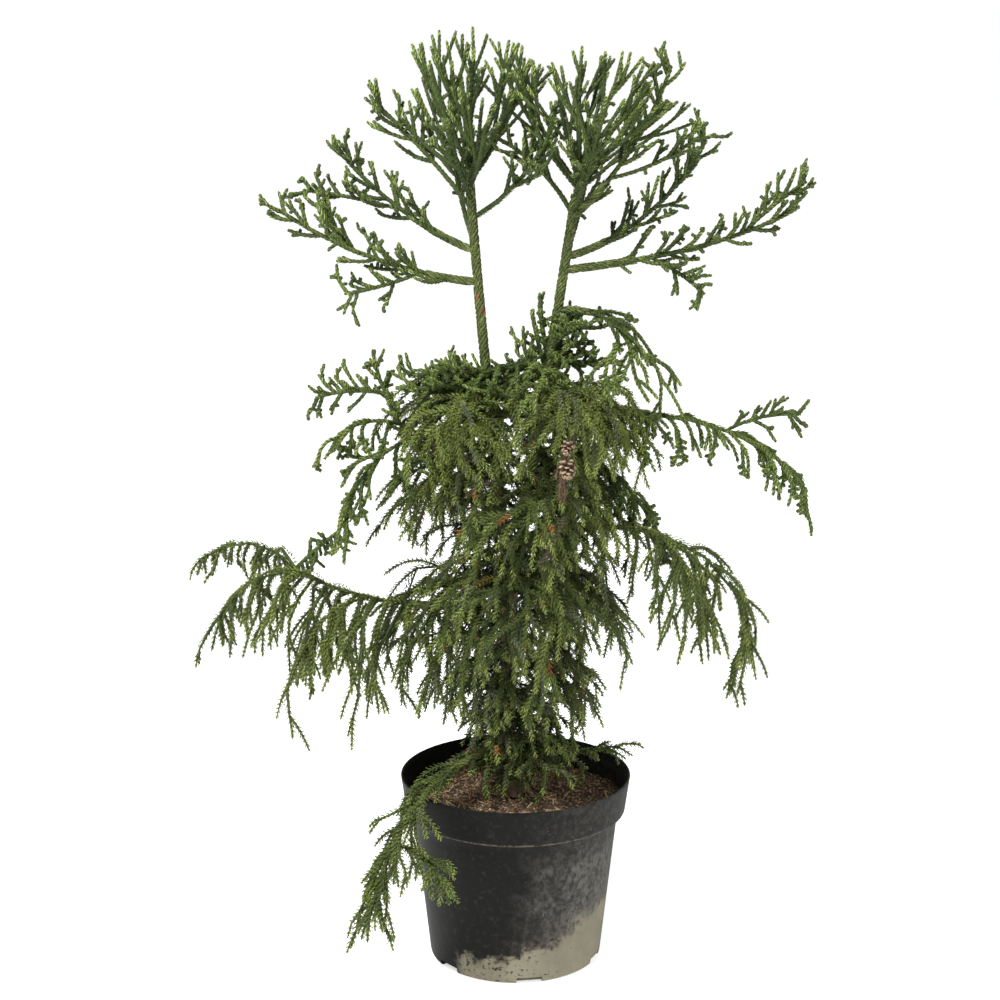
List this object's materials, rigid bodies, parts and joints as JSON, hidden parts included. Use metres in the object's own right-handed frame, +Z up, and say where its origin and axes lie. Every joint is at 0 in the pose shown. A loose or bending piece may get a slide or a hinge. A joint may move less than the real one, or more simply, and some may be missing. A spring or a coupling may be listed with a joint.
{
  "type": "potted rasen-sugi japanese cedar",
  "caption": "Young twisted-needle japanese cedar with two leaders, a fan of corded shoots above weeping tiers, standing in a black nursery pot.",
  "frame": {"origin": "centre of the pot's flat underside", "axes": "+Z up along the trunk, -Y towards the plant's front, +X to the right seen from the front"},
  "size_m": [0.6814, 0.3796, 1.031],
  "materials": {
    "pot": "dull black nursery plastic with a grey bloom and a pale lime mark low on the front",
    "soil": "brown bark and peat crumbs",
    "bark": "reddish brown fibrous bark",
    "shoot_bark": "green-olive twisted bark of young shoots",
    "foliage": "short needles twisted round cord-like shoots"
  },
  "bodies": {
    "root": {"bough_back_lower": "shoot_bark", "bough_back_upper": "shoot_bark", "bough_foot_left": "shoot_bark", "bough_left_high": "shoot_bark", "bough_left_low": "shoot_bark", "bough_left_lower": "shoot_bark", "bough_left_upper": "shoot_bark", "bough_right_droop": "shoot_bark", "bough_right_high": "shoot_bark", "bough_right_low": "shoot_bark", "bough_right_lower": "shoot_bark", "bough_right_mid": "shoot_bark", "bough_right_middle": "shoot_bark", "bough_right_upper": "shoot_bark", "foliage_back_lower": "foliage", "foliage_back_upper": "foliage", "foliage_column_1_1": "foliage", "foliage_column_1_2": "foliage", "foliage_column_1_3": "foliage", "foliage_column_1_4": "foliage", "foliage_column_2_1": "foliage", "foliage_column_2_2": "foliage", "foliage_column_2_3": "foliage", "foliage_column_3_1": "foliage", "foliage_column_3_2": "foliage", "foliage_column_3_3": "foliage", "foliage_column_4_1": "foliage", "foliage_column_4_2": "foliage", "foliage_column_4_3": "foliage", "foliage_fan_left": "foliage", "foliage_fan_right": "foliage", "foliage_foot_back": "foliage", "foliage_foot_front": "foliage", "foliage_foot_left": "foliage", "foliage_foot_right": "foliage", "foliage_left_back": "foliage", "foliage_left_front": "foliage", "foliage_left_high": "foliage", "foliage_left_inner": "foliage", "foliage_left_low": "foliage", "foliage_left_lower": "foliage", "foliage_left_outer": "foliage", "foliage_left_upper": "foliage", "foliage_middle_sprigs": "foliage", "foliage_right_back": "foliage", "foliage_right_droop": "foliage", "foliage_right_front": "foliage", "foliage_right_high": "foliage", "foliage_right_inner": "foliage", "foliage_right_low": "foliage", "foliage_right_lower": "foliage", "foliage_right_mid": "foliage", "foliage_right_middle": "foliage", "foliage_right_upper": "foliage", "leader_left": "shoot_bark", "leader_right": "shoot_bark", "pot": "pot", "soil": "soil", "trunk": "bark"}
  },
  "joints": []
}
